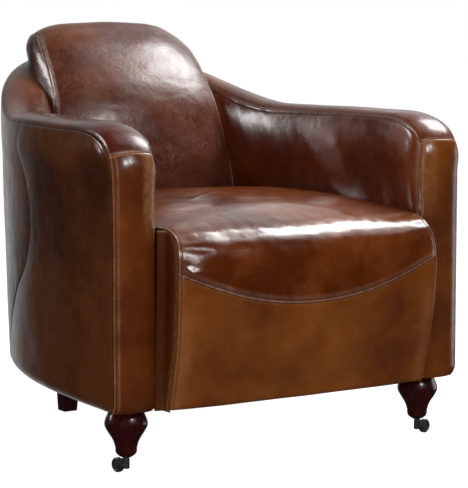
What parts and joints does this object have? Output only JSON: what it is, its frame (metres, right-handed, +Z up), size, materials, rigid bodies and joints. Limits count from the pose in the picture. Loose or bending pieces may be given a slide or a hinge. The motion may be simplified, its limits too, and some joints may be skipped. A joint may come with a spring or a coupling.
{
  "type": "club chair",
  "caption": "Barrel-backed club chair in worn brown leather: swept arms, crowned sprung seat, raised padded back, and turned front feet on swivelling casters.",
  "frame": {"origin": "on the floor, under the middle of the chair's bounding box", "axes": "+Z up, the seat opens towards -Y, +X to the right seen from the front"},
  "size_m": [0.735, 0.8601, 0.771],
  "materials": {
    "leather_arm": "waxed, worn, glossy",
    "leather_front": "waxed, worn, glossy, rubbed to tan",
    "leather_outside": "waxed, worn, glossy",
    "leather_seat": "waxed, worn, cracked, glossy",
    "leather_back": "waxed, worn, cracked, glossy",
    "mahogany": "dark polished",
    "beech": "planed",
    "plywood": "bare",
    "foam": "open cell",
    "hessian": "coarse weave",
    "black_cloth": "thin spun cloth",
    "spring_steel": "oiled",
    "caster_steel": "black, satin",
    "caster_rubber": "hard, satin"
  },
  "bodies": {
    "chair": {"arm_band_left": "leather_arm", "arm_band_right": "leather_arm", "arm_facing_left": "leather_front", "arm_facing_right": "leather_front", "arm_foam_left": "foam", "arm_foam_right": "foam", "arm_post_left": "beech", "arm_post_right": "beech", "arm_rail_left": "beech", "arm_rail_right": "beech", "back_boxing": "leather_back", "back_cover_front": "leather_back", "back_foam": "foam", "back_panel": "plywood", "back_post_left": "beech", "back_post_right": "beech", "back_web_1": "hessian", "back_web_2": "hessian", "caster_socket_left": "caster_steel", "caster_socket_right": "caster_steel", "corner_block_front_left": "beech", "corner_block_front_right": "beech", "corner_block_rear_left": "beech", "corner_block_rear_right": "beech", "crest_rail": "beech", "deck_cloth": "hessian", "dust_cover": "black_cloth", "front_foot_left": "mahogany", "front_foot_right": "mahogany", "front_rail": "beech", "inside_arm_cover_left": "leather_arm", "inside_arm_cover_right": "leather_arm", "nose_board": "plywood", "outside_arm_cover_left": "leather_outside", "outside_arm_cover_right": "leather_outside", "outside_back_cover": "leather_outside", "rear_leg_left": "mahogany", "rear_leg_right": "mahogany", "rear_rail": "beech", "seat_cover_front": "leather_front", "seat_cover_top": "leather_seat", "seat_foam": "foam", "seat_gusset_left": "leather_front", "seat_gusset_right": "leather_front", "seat_rear_rail": "beech", "seat_spring_1": "spring_steel", "seat_spring_2": "spring_steel", "seat_spring_3": "spring_steel", "seat_spring_4": "spring_steel", "side_panel_left": "plywood", "side_panel_right": "plywood", "side_rail_left": "beech", "side_rail_right": "beech"},
    "caster_swivel_left": {"caster_horn_left": "caster_steel", "caster_axle_left": "caster_steel"},
    "caster_swivel_right": {"caster_horn_right": "caster_steel", "caster_axle_right": "caster_steel"},
    "caster_roller_left": {"caster_wheel_left": "caster_rubber"},
    "caster_roller_right": {"caster_wheel_right": "caster_rubber"}
  },
  "joints": [
    {"name": "swivel_left", "type": "hinge", "parent": "chair", "child": "caster_swivel_left", "pos_m": [-0.315, -0.3079, 0.03], "axis": [0, 0, 1], "continuous": true},
    {"name": "roll_left", "type": "hinge", "parent": "caster_swivel_left", "child": "caster_roller_left", "pos_m": [-0.32044, -0.28762, 0.013], "axis": [-0.9659, -0.2588, 0], "continuous": true},
    {"name": "swivel_right", "type": "hinge", "parent": "chair", "child": "caster_swivel_right", "pos_m": [0.315, -0.3079, 0.03], "axis": [0, 0, 1], "continuous": true},
    {"name": "roll_right", "type": "hinge", "parent": "caster_swivel_right", "child": "caster_roller_right", "pos_m": [0.33554, -0.30353, 0.013], "axis": [-0.2079, 0.9781, 0], "continuous": true}
  ]
}
